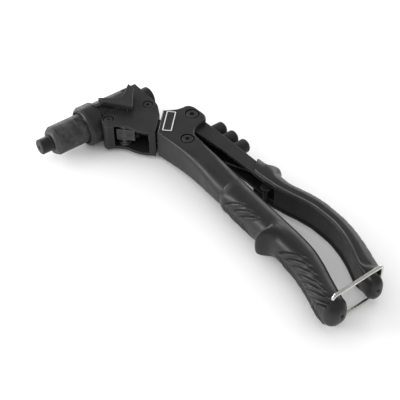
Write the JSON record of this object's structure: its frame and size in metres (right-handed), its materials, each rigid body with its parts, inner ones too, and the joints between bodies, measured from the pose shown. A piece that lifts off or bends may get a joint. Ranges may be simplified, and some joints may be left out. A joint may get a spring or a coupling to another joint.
{
  "type": "hand riveter",
  "caption": "Black hand riveter with a swivelling head set at 45 degrees, two long ribbed grips, spare nosepieces kept in the lever and a wire bail that holds the handles shut",
  "frame": {"origin": "centre of the nosepiece mouth, on the nose axis", "axes": "+X rearwards along the nose towards the rear cap, the handles hang towards -Y, +Z square to the flat side that the tool lies on"},
  "size_m": [0.1455, 0.3076, 0.0386],
  "materials": {
    "dark_steel": "black oxide steel, slightly oily, fine turning marks",
    "phosphated_steel": "matt grey phosphate, mottled, bright on worn edges",
    "satin_black": "satin black powder coat on cast metal",
    "bright_steel": "bare turned steel",
    "seal_rubber": "black rubber seal",
    "grip_rubber": "moulded satin black grip with raised ribs",
    "nickel_wire": "bright nickel-plated spring wire",
    "badge_print": "plain printed frame, blank"
  },
  "bodies": {
    "body": {"main_body": "satin_black", "fulcrum_bolt": "dark_steel", "spring_post_bolt": "dark_steel", "swivel_spindle": "bright_steel", "swivel_circlip": "bright_steel", "swivel_washer": "dark_steel", "detent_ball": "bright_steel", "detent_spring": "bright_steel", "fixed_grip": "grip_rubber", "blank_badge": "badge_print"},
    "head": {"nosepiece": "dark_steel", "front_sleeve": "phosphated_steel", "sleeve_seal": "seal_rubber", "lock_collar": "satin_black", "head_housing": "satin_black", "cheek_plate_upper": "satin_black", "cheek_plate_lower": "satin_black", "cheek_screw": "dark_steel", "crank_pivot_bolt": "dark_steel", "rear_cap": "dark_steel", "crank_stop_block": "phosphated_steel", "latch_pin": "bright_steel", "latch_spring": "bright_steel", "return_spring": "bright_steel"},
    "jaw_draw": {"jaw_carrier": "bright_steel", "jaw_case": "dark_steel", "gripping_jaws": "bright_steel", "jaw_pusher": "bright_steel", "jaw_spring": "bright_steel"},
    "crank": {"bell_crank": "phosphated_steel"},
    "latch": {"collar_latch": "satin_black"},
    "rod": {"push_rod": "bright_steel"},
    "spring_leg": {"handle_spring": "bright_steel"},
    "moving_handle": {"moving_lever": "satin_black", "cam_pin": "bright_steel", "stored_nosepiece_small": "dark_steel", "stored_nosepiece_medium": "dark_steel", "stored_nosepiece_large": "dark_steel", "moving_grip": "grip_rubber"},
    "roller": {"cam_roller": "bright_steel"},
    "bail": {"wire_bail": "nickel_wire"}
  },
  "joints": [
    {"name": "head_swivel", "type": "hinge", "parent": "body", "child": "head", "pos_m": [0.09217, -0.04487, 0], "axis": [0.7071, -0.7071, 0], "continuous": true},
    {"name": "handle_squeeze", "type": "hinge", "parent": "body", "child": "moving_handle", "pos_m": [0.1207, -0.0554, 0], "axis": [0, 0, 1], "range_deg": [0, 25]},
    {"name": "push_rod_slide", "type": "slide", "parent": "body", "child": "rod", "axis": [0.7071, -0.7071, 0], "range_m": [0, 0.0056]},
    {"name": "crank_rock", "type": "hinge", "parent": "head", "child": "crank", "pos_m": [0.0971, -0.0225, 0], "axis": [0, 0, 1], "range_deg": [0, 16.5]},
    {"name": "carrier_slide", "type": "slide", "parent": "head", "child": "jaw_draw", "axis": [-1, 0, 0], "range_m": [0, 0.0064]},
    {"name": "latch_rock", "type": "hinge", "parent": "head", "child": "latch", "pos_m": [0.08, -0.015, 0.0162], "axis": [0, 1, 0], "range_deg": [0, 5], "deforming": ["latch_spring"]},
    {"name": "spring_leg_turn", "type": "hinge", "parent": "body", "child": "spring_leg", "pos_m": [0.0984, -0.0788, 0], "axis": [0, 0, 1], "range_deg": [0, 32]},
    {"name": "roller_spin", "type": "hinge", "parent": "moving_handle", "child": "roller", "pos_m": [0.10995, -0.06222, 0], "axis": [0, 0, 1], "continuous": true},
    {"name": "bail_flip", "type": "hinge", "parent": "body", "child": "bail", "pos_m": [0.0781, -0.2794, 0], "axis": [0, 0, -1], "range_deg": [0, 201]}
  ],
  "couplings": [
    {"joint": "push_rod_slide", "follows": "handle_squeeze", "m_per_rad": 0.012629},
    {"joint": "crank_rock", "follows": "handle_squeeze", "ratio": 0.652},
    {"joint": "carrier_slide", "follows": "handle_squeeze", "m_per_rad": 0.014369},
    {"joint": "spring_leg_turn", "follows": "handle_squeeze", "ratio": 1.22},
    {"joint": "bail_flip", "follows": "handle_squeeze", "ratio": 8}
  ]
}
